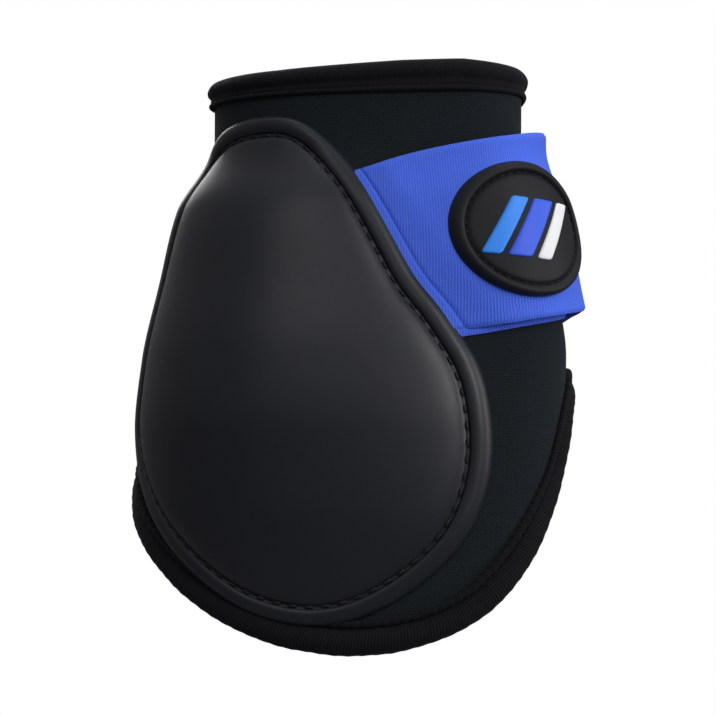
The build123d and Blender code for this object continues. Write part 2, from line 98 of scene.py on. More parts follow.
# ---------------------------------------------------------------------------------------------
# The body surface: three circles per level joined by a soft maximum
# ---------------------------------------------------------------------------------------------
def table(rows, x, column=1):
    """Monotone cubic curve through a table's first column and another one."""
    rows = np.asarray(rows, float)
    xs, ys = rows[:, 0], rows[:, column]
    gap = np.diff(xs)
    rise = np.diff(ys) / gap
    slope = np.zeros(len(xs))
    slope[0], slope[-1] = rise[0], rise[-1]
    for i in range(1, len(gap)):
        if rise[i - 1] * rise[i] > 0:
            before = 2 * gap[i] + gap[i - 1]
            after = gap[i] + 2 * gap[i - 1]
            slope[i] = (before + after) / (before / rise[i - 1] + after / rise[i])
    x = np.clip(np.asarray(x, float), xs[0], xs[-1])
    i = np.clip(np.searchsorted(xs, x, side="right") - 1, 0, len(gap) - 1)
    t = (x - xs[i]) / gap[i]
    return (ys[i] * (2 * t**3 - 3 * t**2 + 1) + gap[i] * slope[i] * (t**3 - 2 * t**2 + t)
            + ys[i + 1] * (-2 * t**3 + 3 * t**2) + gap[i] * slope[i + 1] * (t**3 - t**2))


def section(z):
    """The back, near corner and far corner circles at z, as (x, y, radius)."""
    back_x, front_x, back_r, near_r, near_y, far_r, far_y = [
        table(LEVELS, z, column) for column in range(1, 8)]
    return ((back_r - back_x, np.zeros_like(back_x), back_r),
            (front_x - near_r, near_y + near_r, near_r),
            (front_x - far_r - FAR_CORNER_INSET, far_y - far_r, far_r))


def skin(facing, circles, off):
    """x, y of the surface where its outward normal is facing (degrees from -Y towards +X)."""
    sine, cosine = np.sin(np.radians(facing)), np.cos(np.radians(facing))
    reaches = [np.maximum(x * sine - y * cosine + r, 1e-3) for x, y, r in circles]
    longest = np.maximum(np.maximum(reaches[0], reaches[1]), reaches[2])
    total, turn = 0.0, 0.0
    for reach, (x, y, _) in zip(reaches, circles):
        ratio = reach / longest
        weight = ratio**(SOFT_POWER - 1)
        total = total + weight * ratio
        turn = turn + weight * (x * cosine + y * sine)
    root = total ** (1 / SOFT_POWER)
    support = longest * root + off
    slope = turn * root / total
    return support * sine + slope * cosine, -support * cosine + slope * sine


def station_of(x, y):
    return np.degrees(np.arctan2(x - CENTRE[0], -(y - CENTRE[1])))


def near_turn(angle, near):
    """The same direction as angle, within half a turn of near."""
    return near + (angle - near + 180.0) % 360.0 - 180.0


def bisect(low, high, steps, falls_short):
    for _ in range(steps):
        middle = (low + high) / 2
        short = falls_short(middle)
        low, high = np.where(short, middle, low), np.where(short, high, middle)
    return (low + high) / 2


def spread(*values):
    return np.broadcast_arrays(*[np.asarray(value, float) for value in values])


def on_body_facing(station, z, off=0.0):
    """Points of the surface at these stations, and the angles they face."""
    station, z, off = spread(station, z, off)
    circles = section(z)

    def falls_short(facing):
        x, y = skin(facing, circles, off)
        return near_turn(station_of(x, y), facing) < station

    facing = bisect(station - 60.0, station + 60.0, 24, falls_short)
    x, y = skin(facing, circles, off)
    return np.stack([x, y, z], -1), facing


def on_body(station, z, off=0.0):
    return on_body_facing(station, z, off)[0]


def seen_from(turn):
    """Maps (u, z), seen square on from this turn, to surface points and facing angles."""
    cosine, sine = cos(radians(turn)), sin(radians(turn))

    def place(u, z, off):
        u, z, off = spread(u, z, off)
        circles = section(z)

        def falls_short(facing):
            x, y = skin(facing, circles, off)
            return x * cosine + y * sine < u

        facing = bisect(np.full(u.shape, turn - 95.0), np.full(u.shape, turn + 95.0), 26,
                        falls_short)
        x, y = skin(facing, circles, off)
        return np.stack([x, y, z], -1), facing
    return place


def outward(facing):
    """Unit normals for facing angles."""
    return np.stack([np.sin(np.radians(facing)), -np.cos(np.radians(facing)), 0 * facing], -1)


def smooth(t):
    t = np.clip(t, 0, 1)
    return t * t * (3 - 2 * t)


def wander(a, z, seed=0.0):
    """A slow, repeatable waviness between about -1 and 1."""
    return (np.sin(a * 0.071 + z * 0.043 + seed)
            + np.sin(a * 0.029 - z * 0.087 + 1.7 * seed + 1.1)
            + np.sin(a * 0.137 + z * 0.021 - seed + 2.3)) / 3


# ---------------------------------------------------------------------------------------------
# Lines and outlines
# ---------------------------------------------------------------------------------------------
def unit(vectors):
    return vectors / np.linalg.norm(vectors, axis=1)[:, None]


def lengths(points):
    """Length along an open line, at each of its points."""
    return np.concatenate([[0], np.cumsum(np.linalg.norm(np.diff(points, axis=0), axis=1))])


def interp_points(want, known, points):
    return np.stack([np.interp(want, known, column) for column in points.T], -1)


def resample(ring, count):
    """count evenly spaced points on a closed line, and the length at each."""
    ring = np.vstack([ring, ring[:1]])
    known = lengths(ring)
    want = np.arange(count) / count * known[-1]
    return interp_points(want, known, ring), want


def closed_spline(points, count):
    """Evenly spaced points on a periodic cubic spline."""
    p = np.asarray(points, float)
    size = len(p)
    gap = np.linalg.norm(np.roll(p, -1, 0) - p, axis=1)
    matrix = np.zeros((size, size))
    right = np.zeros((size, 2))
    for i in range(size):
        j = (i + 1) % size
        matrix[i, i - 1] += gap[i - 1]
        matrix[i, i] += 2 * (gap[i - 1] + gap[i])
        matrix[i, j] += gap[i]
        right[i] = 6 * ((p[j] - p[i]) / gap[i] - (p[i] - p[i - 1]) / gap[i - 1])
    bend = np.linalg.solve(matrix, right)
    t = np.arange(24)[:, None] / 24.0
    u = 1 - t
    dense = []
    for i in range(size):
        j = (i + 1) % size
        dense.append(u * p[i] + t * p[j]
                     + gap[i]**2 / 6 * ((u**3 - u) * bend[i] + (t**3 - t) * bend[j]))
    return resample(np.concatenate(dense), count)[0]


def loop_profile(points, count):
    """A soft closed curve through points, resampled from the first; also the lengths."""
    p = np.asarray(points, float)
    size = len(p)
    dense = []
    for i in range(size):
        p0, p1, p2, p3 = p[i - 1], p[i], p[(i + 1) % size], p[(i + 2) % size]
        for t in np.arange(10) / 10.0:
            dense.append(0.5 * ((2 * p1) + (p2 - p0) * t + (2 * p0 - 5 * p1 + 4 * p2 - p3) * t * t
                                + (3 * p1 - p0 - 3 * p2 + p3) * t**3))
    return resample(np.array(dense), count)


def round_loop(radius, count, up, out):
    """A circle centred on (up, out), and the length at each point."""
    turn = np.arange(count) / count * 2 * pi + pi / count
    points = np.stack([up + radius * np.sin(turn), out + radius * np.cos(turn)], -1)
    return points, np.arange(count) / count * 2 * pi * radius


def ring_normals(ring):
    """Unit normals of a closed outline, pointing inwards."""
    tangent = unit(np.roll(ring, -1, 0) - np.roll(ring, 1, 0))
    normal = np.stack([-tangent[:, 1], tangent[:, 0]], -1)
    area = 0.5 * np.sum(ring[:, 0] * np.roll(ring[:, 1], -1)
                        - np.roll(ring[:, 0], -1) * ring[:, 1])
    return normal if area > 0 else -normal


def inset(ring, distance):
    return ring + ring_normals(ring) * distance


def depth_inside(points, outline):
    """Distance of points inside a closed outline, negative outside."""
    side = np.roll(outline, -1, 0) - outline
    end = np.roll(outline, -1, 0)
    best = np.full(len(points), 1e9)
    odd = np.zeros(len(points), bool)
    for i in range(len(outline)):
        away = points - outline[i]
        share = np.clip((away @ side[i]) / (side[i] @ side[i]), 0, 1)
        best = np.minimum(best, np.hypot(*(away - share[:, None] * side[i]).T))
        if outline[i, 1] != end[i, 1]:
            level = (outline[i, 1] > points[:, 1]) != (end[i, 1] > points[:, 1])
            crossing = (outline[i, 0]
                        + (points[:, 1] - outline[i, 1]) * side[i, 0] / side[i, 1])
            odd ^= level & (points[:, 0] < crossing)
    return np.where(odd, best, -best)


# ---------------------------------------------------------------------------------------------
# Meshes. The attribute "fab" holds millimetres along and across the cloth, so the patterns
# stay put when a piece bends.
# ---------------------------------------------------------------------------------------------
def settle(verts):
    """The soft collar stands lower towards the back and at the front corner."""
    t = np.clip((verts[:, 2] - 146.0) / 13.0, 0.0, 1.0)
    out = verts.copy()
    out[:, 2] -= t * t * (3 - 2 * t) * np.interp(verts[:, 0], *COLLAR_DROP)
    return out


def mesh_object(name, verts, faces, fab, sharp):
    """A smooth object facing outwards; edges steeper than sharp degrees stay sharp."""
    verts = settle(verts)
    quads = np.array([f if len(f) == 4 else (*f, f[2]) for f in faces], int)
    p = verts[quads]
    volume = (np.einsum("ij,ij->i", p[:, 0], np.cross(p[:, 1], p[:, 2])).sum()
              + np.einsum("ij,ij->i", p[:, 0], np.cross(p[:, 2], p[:, 3])).sum())
    if volume < 0:
        faces = [tuple(reversed(f)) for f in faces]
    mesh = bpy.data.meshes.new(name)
    mesh.from_pydata((verts * MM).tolist(), [], faces)
    mesh.polygons.foreach_set("use_smooth", [True] * len(mesh.polygons))
    attribute = mesh.attributes.new("fab", "FLOAT_VECTOR", "POINT")
    full = np.zeros((len(verts), 3), np.float32)
    full[:, :fab.shape[1]] = fab
    attribute.data.foreach_set("vector", full.ravel())
    mesh.update()
    mesh.set_sharp_from_angle(angle=radians(sharp))
    ob = bpy.data.objects.new(name, mesh)
    bpy.context.scene.collection.objects.link(ob)
    return ob


def cloth(along, across):
    """Fab values from two arrays that broadcast together."""
    return np.stack(np.broadcast_arrays(along, across), -1)


def loop_faces(count, size, base):
    """Quads between count loops of size points; the ends are capped by pairing points."""
    faces = []
    for i in range(count - 1):
        here, there = base + i * size, base + (i + 1) * size
        for j in range(size):
            j2 = (j + 1) % size
            faces.append((here + j, here + j2, there + j2, there + j))
    last = base + (count - 1) * size
    for j in range(size // 2 - 1):
        quad = (j, j + 1, size - 2 - j, size - 1 - j)
        faces.append(tuple(last + q for q in quad))
        faces.append(tuple(base + q for q in reversed(quad)))
    return faces


def tubes_object(name, tubes, sharp):
    """Capped tubes as one object; tubes holds (loops, fab)."""
    verts, fabs, faces, base = [], [], [], 0
    for loops, fab in tubes:
        count, size = loops.shape[:2]
        verts.append(loops.reshape(-1, 3))
        fabs.append(fab.reshape(-1, 2))
        faces += loop_faces(count, size, base)
        base += count * size
    return mesh_object(name, np.concatenate(verts), faces, np.concatenate(fabs), sharp)


def tube_object(name, loops, fab, sharp):
    return tubes_object(name, [(loops, fab)], sharp)


def layer_object(name, outer, inner, fab, sharp):
    """A sheet between two point grids that share their fab values."""
    return tube_object(name, np.concatenate([outer, inner[:, ::-1]], 1),
                       np.concatenate([fab, fab[:, ::-1]], 1), sharp)


def plate(name, outline, insets, inner_rings, top, bottom, place, sharp, centre):
    """A closed moulding: rings inset from the outline, then rings shrinking to a centre.

    top and bottom give offs from each point's depth inside the outline and its (u, z).
    """
    count = len(outline)
    normal = ring_normals(outline)
    rings = [outline + normal * distance for distance in insets]
    depths = [np.full(count, float(distance)) for distance in insets]
    last = rings[-1]
    for k in range(1, inner_rings + 1):
        ring = centre + (last - centre) * (1 - (k / (inner_rings + 0.35)))
        rings.append(ring)
        depths.append(np.maximum(depth_inside(ring, outline[::2]), insets[-1]))
    points = np.concatenate(rings + [centre[None]])
    depth = np.concatenate(depths + [depth_inside(centre[None], outline[::2])])
    upper, _ = place(points[:, 0], points[:, 1], top(depth, points))
    lower, _ = place(points[:, 0], points[:, 1], bottom(depth, points))
    total = len(points)
    faces = []
    for base, flip in ((0, False), (total, True)):
        side = []
        for i in range(len(rings) - 1):
            here, there = base + i * count, base + (i + 1) * count
            for j in range(count):
                j2 = (j + 1) % count
                side.append((here + j, here + j2, there + j2, there + j))
        middle = base + len(rings) * count
        for j in range(count):
            side.append((middle - count + j, middle - count + (j + 1) % count, middle))
        faces += [f[::-1] if flip else f for f in side]
    for j in range(count):
        j2 = (j + 1) % count
        faces.append((j2, j, total + j, total + j2))
    fab = np.column_stack([points, depth])
    return mesh_object(name, np.concatenate([upper, lower]), faces,
                       np.concatenate([fab, fab]), sharp)


def stitch(start, end, normal, radius, dip, sides=8, stations=7):
    """Loops of one thread stitch whose ends go down into the work."""
    t = np.linspace(0, 1, stations)
    middle = start + (end - start) * t[:, None]
    lift = -dip * (2 * t - 1) ** 4
    middle = middle + normal * lift[:, None]
    radii = radius * np.sqrt(np.clip(1 - np.abs(2 * t - 1) ** 4, 0.12, 1))
    length = np.linalg.norm(end - start)
    forward = (end - start) / length
    up = normal - forward * (normal @ forward)
    up /= np.linalg.norm(up)
    sideways = np.cross(forward, up)
    turn = np.arange(sides) / sides * 2 * pi + pi / sides
    ring = np.cos(turn)[None, :, None] * sideways + np.sin(turn)[None, :, None] * up
    loops = middle[:, None, :] + ring * radii[:, None, None]
    return loops, cloth((t * length)[:, None], (turn * radius)[None, :])


def stitches(name, points, facing, pitch, length, radius, dip):
    """Stitches along a closed line on the surface."""
    normals = outward(facing)
    points = np.vstack([points, points[:1]])
    normals = np.vstack([normals, normals[:1]])
    known = lengths(points)
    count = max(1, int(round(known[-1] / pitch)))
    tubes = []
    for k in range(count):
        middle = (k + 0.5) * known[-1] / count
        start = interp_points(max(middle - length / 2, 0), known, points)
        end = interp_points(min(middle + length / 2, known[-1]), known, points)
        normal = interp_points(middle, known, normals)
        tubes.append(stitch(start, end, normal / np.linalg.norm(normal), radius, dip))
    return tubes_object(name, tubes, sharp=60.0)


# ---------------------------------------------------------------------------------------------
# Materials
# ---------------------------------------------------------------------------------------------
def fresh_tree(owner):
    owner.use_nodes = True
    owner.node_tree.nodes.clear()
    return owner.node_tree


def add_node(tree, kind, inputs=None, **settings):
    """A shader node; each input is a value, or a socket to link from."""
    node = tree.nodes.new(kind)
    for key, value in settings.items():
        setattr(node, key, value)
    for key, value in (inputs or {}).items():
        if isinstance(value, bpy.types.NodeSocket):
            tree.links.new(value, node.inputs[key])
        else:
            node.inputs[key].default_value = value
    return node


def scaled(colour, factor):
    return tuple(value * factor for value in colour)


class Paint:
    """A principled material whose patterns read the mesh attribute "fab"."""

    def __init__(self, name, specular, rough=0.6):
        self.material = bpy.data.materials.new(name)
        self.tree = fresh_tree(self.material)
        output = self.node("ShaderNodeOutputMaterial")
        self.shader = self.node("ShaderNodeBsdfPrincipled",
                                {"Roughness": rough, "Specular IOR Level": specular})
        self.tree.links.new(self.shader.outputs[0], output.inputs[0])
        self.fab = self.node("ShaderNodeAttribute", attribute_name="fab").outputs["Vector"]

    def node(self, kind, inputs=None, **settings):
        return add_node(self.tree, kind, inputs, **settings)

    @cached_property
    def axes(self):
        return self.node("ShaderNodeSeparateXYZ", {0: self.fab}).outputs

    @property
    def along(self):
        return self.axes[0]

    @property
    def across(self):
        return self.axes[1]

    def math(self, operation, a, b=0.0, c=0.0):
        return self.node("ShaderNodeMath", {0: a, 1: b, 2: c}, operation=operation).outputs[0]

    def add(self, a, b):
        return self.math("ADD", a, b)

    def subtract(self, a, b):
        return self.math("SUBTRACT", a, b)

    def times(self, a, factor):
        return self.math("MULTIPLY", a, factor)

    def times_plus(self, a, factor, plus):
        return self.math("MULTIPLY_ADD", a, factor, plus)

    def weigh(self, a, b, shares):
        """The sum of a and b, each times its share."""
        return self.times_plus(a, shares[0], self.times(b, shares[1]))

    def wave(self, coordinate, pitch):
        """0..1 ripple along a millimetre coordinate."""
        ripple = self.math("SINE", self.times(coordinate, 2 * pi / pitch))
        return self.times_plus(ripple, 0.5, 0.5)

    def noise(self, scale, detail, stretch=(1, 1, 1)):
        mapping = self.node("ShaderNodeMapping", {"Scale": stretch, "Vector": self.fab})
        return self.node("ShaderNodeTexNoise", {
            "Scale": scale, "Detail": detail, "Roughness": 0.55,
            "Vector": mapping.outputs[0]}).outputs[0]

    def cells(self, scale):
        return self.node("ShaderNodeTexVoronoi",
                         {"Scale": scale, "Vector": self.fab}).outputs["Distance"]

    def colour(self, factor, first, second):
        """Base colour mixed from two by factor."""
        mix = self.node("ShaderNodeMix", {0: factor, 6: (*first, 1.0), 7: (*second, 1.0)},
                        data_type="RGBA")
        self.tree.links.new(mix.outputs[2], self.shader.inputs["Base Color"])

    def rough(self, value):
        self.tree.links.new(value, self.shader.inputs["Roughness"])

    def bump(self, height, strength, distance_mm, under=None):
        """Bump drives the normal; under is an earlier bump that it adds to."""
        inputs = {"Strength": strength, "Distance": distance_mm * MM, "Height": height}
        if under is not None:
            inputs["Normal"] = under
        normal = self.node("ShaderNodeBump", inputs).outputs[0]
        self.tree.links.new(normal, self.shader.inputs["Normal"])
        return normal

    def sheen(self, weight, rough, tint=(1, 1, 1)):
        self.shader.inputs["Sheen Weight"].default_value = weight
        self.shader.inputs["Sheen Roughness"].default_value = rough
        self.shader.inputs["Sheen Tint"].default_value = (*tint, 1)


def shell_material():
    """Dark moulded plastic with a fine grain and streaky scuffs."""
    base = (0.0088, 0.0099, 0.0150)
    p = Paint("shell", specular=0.38)
    p.colour(p.noise(scale=0.05, detail=3), scaled(base, 0.86), scaled(base, 1.14))
    grain = p.noise(scale=3.2, detail=2)
    scuff = p.noise(scale=0.9, detail=5, stretch=(0.25, 1.6, 1))
    p.rough(p.times_plus(scuff, factor=0.16, plus=0.33))
    fine = p.bump(grain, strength=0.10, distance_mm=0.05)
    p.bump(p.noise(scale=0.12, detail=2), strength=0.12, distance_mm=0.5, under=fine)
    return p.material


def knit_material(name, base, flecks, row, wale, depth, sheen):
    """Knitted cloth; row and wale are the pitches across and along it. Its colour mixes random
    flecks with painted shade, darker in the knit's valleys.
    """
    p = Paint(name, rough=0.9, specular=0.12)
    bend = p.times(p.subtract(p.noise(scale=0.35, detail=2), 0.5), factor=0.9)
    rows = p.wave(p.add(p.across, bend), pitch=row)
    shift = p.times(p.wave(p.across, pitch=row * 2), factor=0.35)
    wales = p.wave(p.add(p.along, shift), pitch=wale)
    knit = p.weigh(wales, rows, shares=(0.45, 0.55))
    fleck = p.noise(scale=2.6, detail=2, stretch=(0.6, 1.6, 1))
    # colour: random flecks plus painted shade, darker where the knit's bump is low
    tone = p.weigh(fleck, knit, shares=(0.7, 0.5))
    p.colour(p.subtract(tone, 0.15), base, flecks)
    p.bump(p.add(knit, p.times(fleck, factor=0.6)), strength=depth, distance_mm=0.16)
    p.sheen(weight=sheen, rough=0.5, tint=(0.75, 0.85, 0.9))
    return p.material


def binding_material():
    """Dark tape with leaning ribs; its colour is painted shade, darker in the rib valleys and
    lighter on the rib tops.
    """
    p = Paint("binding", rough=0.85, specular=0.12)
    lean = p.times_plus(p.across, factor=0.16, plus=p.along)
    lean = p.add(lean, p.times(p.noise(scale=0.4, detail=2), factor=0.5))
    ribs = p.wave(lean, pitch=0.82)
    thread = p.wave(p.across, pitch=0.36)
    weave = p.weigh(thread, ribs, shares=(0.22, 0.78))
    # painted shade: the colour follows the rib height, dark in the valleys
    p.colour(weave, (0.0026, 0.0028, 0.0040), (0.0110, 0.0113, 0.0142))
    p.bump(weave, strength=0.55, distance_mm=0.18)
    p.sheen(weight=0.04, rough=0.45, tint=(0.8, 0.82, 0.9))
    return p.material


def elastic_material():
    """Blue ribbed webbing; its colour mixes random flecks with painted shade, darker in the rib
    valleys.
    """
    rib = 0.72
    p = Paint("elastic", rough=0.72, specular=0.25)
    drift = p.times(p.noise(scale=0.22, detail=2), factor=0.55)
    ribs = p.wave(p.add(p.along, drift), pitch=rib)
    shift = p.times(p.wave(p.along, pitch=2 * rib), factor=0.2)
    weft = p.wave(p.add(p.across, shift), pitch=0.46)
    weave = p.weigh(weft, ribs, shares=(0.30, 0.70))
    fleck = p.noise(scale=2.4, detail=2)
    # colour: random flecks plus painted shade, darker where the weave's bump is low
    tone = p.weigh(fleck, weave, shares=(0.45, 0.62))
    p.colour(tone, (0.028, 0.085, 0.66), (0.105, 0.215, 1.0))
    p.bump(p.add(weave, p.times(fleck, factor=0.35)), strength=0.55, distance_mm=0.17)
    p.sheen(weight=0.10, rough=0.4, tint=(0.6, 0.7, 1.0))
    return p.material


def rubber_material(name, base, rough=0.5, depth=0.12, specular=0.4, vary=0.05):
    """Plain rubber with a fine grain; vary is the spread of its tone."""
    p = Paint(name, specular=specular)
    p.colour(p.noise(scale=0.25, detail=3), scaled(base, 1 - vary), scaled(base, 1 + vary))
    fine = p.noise(scale=5.0, detail=3)
    p.rough(p.times_plus(fine, factor=0.14, plus=rough - 0.07))
    p.bump(fine, strength=depth, distance_mm=0.08)
    return p.material


def thread_material(name, dark, light, pitch):
    """Twisted sewing thread; pitch is that of the twist. Its colour is painted shade along the
    twist: dark in the grooves, light on the ridges.
    """
    p = Paint(name, rough=0.6, specular=0.3)
    twist = p.wave(p.times_plus(p.across, factor=1.4, plus=p.along), pitch=pitch)
    # painted shade: dark in the twist's grooves, light on its ridges
    p.colour(twist, dark, light)
    p.bump(twist, strength=0.5, distance_mm=0.1)
    return p.material


def cell_material(name, base, scale, depth, rough, light, sheen=0.0):
    """A cellular surface; light brightens the base colour at the cell centres, a painted highlight
    on the raised cells, and the sunken cell edges fall to half the base, painted shade.
    """
    p = Paint(name, rough=rough, specular=0.3)
    cells = p.cells(scale)
    noise = p.noise(scale=2.2, detail=3)
    # painted highlight on the raised cell centres, painted shade in the sunken cell edges
    p.colour(cells, scaled(base, light), scaled(base, 0.5))
    p.bump(p.subtract(p.times(noise, factor=0.5), cells), strength=depth, distance_mm=0.3)
    if sheen:
        p.sheen(weight=sheen, rough=0.6)
    return p.material


MATERIALS = {
    "shell": shell_material(),
    "thread": thread_material("thread", dark=(0.0035, 0.0035, 0.004),
                              light=(0.013, 0.013, 0.015), pitch=0.55),
    "blue_thread": thread_material("blue_thread", dark=(0.02, 0.05, 0.36),
                                   light=(0.05, 0.11, 0.62), pitch=0.5),
    "foam": cell_material("foam", base=(0.045, 0.045, 0.05), scale=1.6, depth=0.5, rough=0.9,
                          light=1.8),
    "neoprene": knit_material("neoprene", base=(0.0034, 0.0048, 0.0064),
                              flecks=(0.0195, 0.0255, 0.0310), row=0.62, wale=0.78,
                              depth=0.9, sheen=0.05),
    "lining": knit_material("lining", base=(0.010, 0.013, 0.015),
                            flecks=(0.026, 0.031, 0.034), row=0.8, wale=0.8,
                            depth=0.4, sheen=0.15),
    "binding": binding_material(),
    "elastic": elastic_material(),
    "badge_rubber": rubber_material("badge_rubber", base=(0.0100, 0.0104, 0.0128), rough=0.58,
                                    depth=0.15, specular=0.24, vary=0.12),
    "badge_light": rubber_material("badge_light", base=(0.028, 0.265, 0.98)),
    "badge_mid": rubber_material("badge_mid", base=(0.032, 0.105, 0.80)),
    "badge_white": rubber_material("badge_white", base=(0.86, 0.87, 0.88), vary=0.03),
    "hook": cell_material("hook", base=(0.012, 0.012, 0.015), scale=1.5, depth=0.9, rough=0.6,
                          light=2.6),
    "loop": cell_material("loop", base=(0.014, 0.015, 0.020), scale=1.9, depth=0.8, rough=0.95,
                          light=2.0, sheen=0.5),
}


def dress(ob, slot, *nodes, material=None):
    """Gives a piece the material listed under slot (or under material), and hides the CAD nodes it
    stands for.
    """
    ob.data.materials.append(MATERIALS[material or slot])
    if nodes:
        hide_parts(*nodes)
    return ob


# ---------------------------------------------------------------------------------------------
# The flex line between the back and the wings; the halves are only baked in place, not bent
# ---------------------------------------------------------------------------------------------
NEAR_FLEX_SLOPE = -0.4236                    # the line's x per z

across_flex = np.array([1.0, 0.0, -NEAR_FLEX_SLOPE])
across_flex /= np.linalg.norm(across_flex)


def bend_near(ob):
    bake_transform(ob)


def bend_far(ob):
    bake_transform(ob)


def both_halves(build, name, slot, node, past_end, **shape):
    """A piece round the body as two objects; each runs past its front edge by past_end."""
    near = build(f"{name}_near_half", SPLIT, NEAR_END + past_end, **shape)
    bend_near(dress(near, slot, f"{node}_back", f"{node}_near"))
    far = build(f"{name}_far_half", FAR_END - past_end, SPLIT, **shape)
    bend_far(dress(far, slot, f"{node}_far"))


def steps_between(start, end, step):
    return np.linspace(start, end, int(round((end - start) / step)) + 1)


# ---------------------------------------------------------------------------------------------
# Measuring round the body and along its bottom edge
# ---------------------------------------------------------------------------------------------
arc_stations = np.arange(-240.0, 215.0, 1.0)
arc_lengths = lengths(on_body(arc_stations, 100.0, 1.5))


def arc(station):
    """Length round the body at mid height, to a station."""
    return np.interp(station, arc_stations, arc_lengths)


path_stations = np.arange(-236.0, 100.01, 0.25)
path, path_facing = on_body_facing(path_stations, table(BOTTOM_PATH, path_stations), HEM_OFF)
path_lengths = lengths(path)

# smoothed tangents keep neighbouring loops of the hem apart
REACH = 10
kernel = np.exp(-0.5 * (np.arange(-REACH, REACH + 1) / 4.5) ** 2)
kernel /= kernel.sum()
tangents = unit(np.stack(
    [np.convolve(np.pad(column, REACH, mode="edge"), kernel, mode="valid")
     for column in np.gradient(path, axis=0).T], -1))
path_up = unit(np.cross(outward(path_facing), tangents))


def hem_places(distance, ups):
    """Stations and z at heights ups square to the bottom path, by distance along it."""
    station = np.interp(distance, path_lengths, path_stations)[:, None]
    point = interp_points(distance, path_lengths, path)
    up = interp_points(distance, path_lengths, path_up)
    edge = point[:, None, :] + up[:, None, :] * ups[None, :, None]
    return near_turn(station_of(edge[..., 0], edge[..., 1]), station), edge[..., 2]


# the sheets' lower edge lies inside the bottom binding
SHEET_EDGE_UP = 2.6
edge_station, edge_z = hem_places(path_lengths[::2], np.array([SHEET_EDGE_UP]))
edge_order = np.argsort(edge_station[:, 0])
edge_station, edge_z = edge_station[edge_order, 0], edge_z[edge_order, 0]

# ---------------------------------------------------------------------------------------------
# Neoprene and lining sheets
# ---------------------------------------------------------------------------------------------
SHEET_TOP = TOP_Z - 5.4
SHEET_PAST_END = 1.6
FINE_STATIONS = (28, 64)    # closer stations here, across the near bend


def sheet(name, start, end, outer, inner, step, rows):
    station = steps_between(start, end, step)
    if end > 60:
        first, last = FINE_STATIONS
        fine = np.linspace(first, last, 61)
        station = np.unique(np.concatenate(
            [station[(station < first) | (station > last)], fine]))
    low = np.interp(station, edge_station, edge_z)[:, None]
    z = low + (SHEET_TOP - low) * np.linspace(0, 1, rows)[None, :]
    station = np.broadcast_to(station[:, None], z.shape)
    wave = 0.16 * wander(arc(station), z)
    return layer_object(name, on_body(station, z, outer + wave),
                        on_body(station, z, inner + wave * 0.5),
                        cloth(arc(station), z), sharp=38.0)


both_halves(sheet, "neoprene", "neoprene", "neoprene", SHEET_PAST_END,
            outer=0.0, inner=-NEOPRENE, step=1.5, rows=84)
both_halves(sheet, "lining", "lining", "lining", SHEET_PAST_END,
            outer=-NEOPRENE - 0.1, inner=-NEOPRENE - GAP - LINING, step=2.0, rows=60)

# ---------------------------------------------------------------------------------------------
# Collar binding: a full roll over the top edge, a crease, and a flat band down to a bead
# ---------------------------------------------------------------------------------------------
# up from the top edge, off
COLLAR_PROFILE = [
    (-8.3, -1.6), (-8.35, 0.2), (-8.0, 0.75), (-6.9, 0.95), (-6.2, 0.9), (-5.75, 0.72),
    (-5.2, 1.05), (-4.2, 1.62), (-2.8, 1.78), (-1.4, 1.25), (-0.45, 0.2), (-0.05, -1.5),
    (-0.45, -3.2), (-1.4, -4.35), (-2.8, -4.9), (-4.4, -4.85), (-5.7, -4.55), (-7.0, -4.5),
    (-8.0, -4.4), (-8.35, -3.6)]
COLLAR_MIDDLE = -1.5           # off about which the collar swells
COLLAR_BEAD = (-8.6, 0.55)     # the bead centre's up and off


def collar(name, start, end):
    station = steps_between(start, end, 1.25)[:, None]
    profile, across = loop_profile(COLLAR_PROFILE, 44)
    along = arc(station)
    pinch = 1.0 + 0.05 * wander(along * 3.1, 0.0, 0.4) + 0.025 * np.sin(along * 1.9)
    z = TOP_Z + profile[None, :, 0] * (1 + 0.015 * wander(along * 2, 0.0, 2.0))
    off = COLLAR_MIDDLE + (profile[None, :, 1] - COLLAR_MIDDLE) * pinch
    return tube_object(name, on_body(station, z, off), cloth(along, across[None, :]), sharp=50.0)


def collar_bead(name, start, end):
    station = steps_between(start, end, 1.0)[:, None]
    up, out = COLLAR_BEAD
    ring, across = round_loop(BEAD_R * 1.1, 12, up, out)
    along = arc(station)
    swell = 1.0 + 0.10 * np.sin(along * 2 * pi / 2.6)
    z = TOP_Z + up + (ring[None, :, 0] - up) * swell
    off = out + (ring[None, :, 1] - out) * swell
    return tube_object(name, on_body(station, z, off), cloth(along, across[None, :]), sharp=60.0)


both_halves(collar, "collar_binding", "binding", "top_roll", past_end=6.5)
both_halves(collar_bead, "collar_bead", "binding", "top_bead", past_end=5.6)

# ---------------------------------------------------------------------------------------------
# Bottom binding and its bead
# ---------------------------------------------------------------------------------------------
# up from the bottom path, off
HEM_PROFILE = [
    (3.9, -1.8), (3.95, 0.05), (3.65, 0.75), (3.0, 1.35), (1.8, 2.05), (0.3, 2.45), (-1.3, 2.2),
    (-2.6, 1.15), (-3.2, -0.4), (-3.25, -1.6), (-2.8, -3.0), (-1.5, -4.3), (0.3, -4.75),
    (2.0, -4.6), (3.4, -4.3), (3.9, -3.4)]


def hem_tube(name, start, end, loop, swell, step, sharp):
    """A tube along the bottom path; swell gives its growth by distance."""
    profile, across = loop
    distance = steps_between(np.interp(start, path_stations, path_lengths),
                             np.interp(end, path_stations, path_lengths), step)
    station, z = hem_places(distance, profile[:, 0])
    points = on_body(station, z, profile[None, :, 1])
    middle = points.mean(1, keepdims=True)
    points = points + (points - middle) * swell(distance)[:, None, None]
    return tube_object(name, points, cloth(distance[:, None], across[None, :]), sharp)


